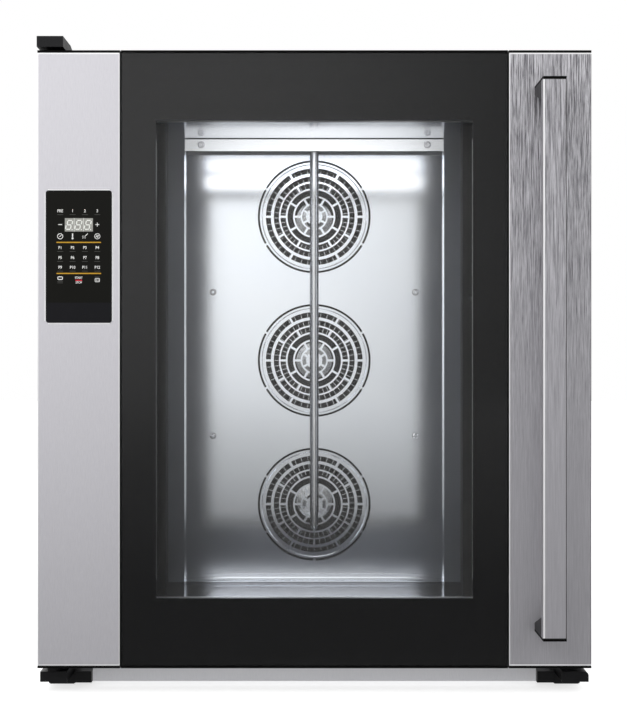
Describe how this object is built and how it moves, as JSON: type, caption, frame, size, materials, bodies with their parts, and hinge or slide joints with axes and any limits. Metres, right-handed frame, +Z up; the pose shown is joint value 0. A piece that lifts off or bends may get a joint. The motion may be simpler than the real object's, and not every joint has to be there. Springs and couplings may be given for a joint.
{
  "type": "convection oven",
  "caption": "Tall cabinet oven for trays: a full-width hinged glass door with a long bar handle and a touch panel, over a cavity with slotted fan guards",
  "frame": {"origin": "centre of the footprint on the floor", "axes": "+X to the right seen from the front, the door faces -Y, +Z up"},
  "size_m": [0.8, 0.811, 0.952],
  "materials": {
    "casing_steel": "satin stainless sheet",
    "cavity_steel": "satin stainless, polished on the ceiling",
    "door_steel": "pressed stainless",
    "brushed_fascia": "vertically brushed stainless",
    "handle_steel": "brushed stainless box section",
    "rack_steel": "bright stainless rails",
    "tube_steel": "polished stainless tube",
    "screw_steel": "zinc-plated and stainless screws and pins",
    "fan_steel": "stainless fan wheel",
    "galvanised_plate": "galvanised sheet",
    "heater_sheath": "oxidised heater sheath",
    "motor_paint": "cast aluminium casing",
    "mineral_wool": "matted wool batt",
    "silicone_seal": "black silicone",
    "pale_polymer": "pale grey moulding",
    "dark_polymer": "black moulded polymer",
    "gloss_black": "gloss black moulding",
    "touch_overlay": "printed touch overlay",
    "glass_print": "black ceramic print",
    "door_glass": "clear toughened glass",
    "lamp_strip": "diffuser over a row of lamps",
    "circuit_board": "lacquered board with its parts",
    "brass_fitting": "machined fitting",
    "bush_bronze": "plain bearing bush"
  },
  "bodies": {
    "cabinet": {"cavity_liner": "cavity_steel", "insulation": "mineral_wool", "front_frame": "casing_steel", "side_panel_left": "casing_steel", "side_panel_right": "casing_steel", "top_panel": "casing_steel", "base_panel": "casing_steel", "rear_panel": "casing_steel", "motor_plate": "galvanised_plate", "door_gasket": "silicone_seal", "fan_baffle": "cavity_steel", "baffle_channels": "cavity_steel", "tube_cover": "cavity_steel", "baffle_screws": "screw_steel", "steam_tube": "tube_steel", "rack_left": "rack_steel", "rack_right": "rack_steel", "temperature_probe": "tube_steel", "drip_pan": "pale_polymer", "foot_front_left": "dark_polymer", "foot_front_right": "dark_polymer", "feet_rear": "dark_polymer", "hinge_block_left": "dark_polymer", "hinge_block_right": "dark_polymer", "hinge_cap": "dark_polymer", "hinge_pins": "screw_steel", "exhaust_pipe": "tube_steel", "drain_pipe": "tube_steel", "water_inlet": "brass_fitting", "cable_gland": "dark_polymer", "power_board": "circuit_board", "cooling_fan_frame": "dark_polymer", "latch_housing": "dark_polymer", "heater_lower": "heater_sheath", "motor_lower": "motor_paint", "heater_middle": "heater_sheath", "motor_middle": "motor_paint", "heater_upper": "heater_sheath", "motor_upper": "motor_paint"},
    "door": {"door_frame": "door_steel", "door_inner_panel": "door_steel", "door_fascia_left": "brushed_fascia", "door_fascia_right": "brushed_fascia", "door_outer_glass": "door_glass", "door_glass_mask": "glass_print", "door_inner_glass": "door_glass", "door_light_bars": "lamp_strip", "door_end_caps": "dark_polymer", "door_bushes": "bush_bronze", "handle_bar": "handle_steel", "handle_brackets": "dark_polymer", "handle_end_caps": "dark_polymer", "control_bezel": "gloss_black", "control_overlay": "touch_overlay", "control_board": "circuit_board"},
    "latch_plunger": {"latch_plunger": "screw_steel"},
    "cooling_fan": {"cooling_fan_rotor": "dark_polymer"},
    "fan_lower": {"fan_wheel_lower": "fan_steel"},
    "fan_middle": {"fan_wheel_middle": "fan_steel"},
    "fan_upper": {"fan_wheel_upper": "fan_steel"}
  },
  "joints": [
    {"name": "door_hinge", "type": "hinge", "parent": "cabinet", "child": "door", "pos_m": [-0.381, -0.3005, 0.4864], "axis": [0, 0, -1], "range_deg": [0, 120]},
    {"name": "latch_slide", "type": "slide", "parent": "cabinet", "child": "latch_plunger", "axis": [0, 0, 1], "range_m": [0, 0.004], "stiffness_N_per_m": 600, "springref_m": -0.006},
    {"name": "cooling_fan_spin", "type": "hinge", "parent": "cabinet", "child": "cooling_fan", "pos_m": [-0.29, 0.37, 0.74], "axis": [0, 1, 0], "continuous": true},
    {"name": "fan_lower_spin", "type": "hinge", "parent": "cabinet", "child": "fan_lower", "pos_m": [0, 0.2, 0.226], "axis": [0, 1, 0], "continuous": true},
    {"name": "fan_middle_spin", "type": "hinge", "parent": "cabinet", "child": "fan_middle", "pos_m": [0, 0.2, 0.4845], "axis": [0, 1, 0], "continuous": true},
    {"name": "fan_upper_spin", "type": "hinge", "parent": "cabinet", "child": "fan_upper", "pos_m": [0, 0.2, 0.743], "axis": [0, 1, 0], "continuous": true}
  ]
}
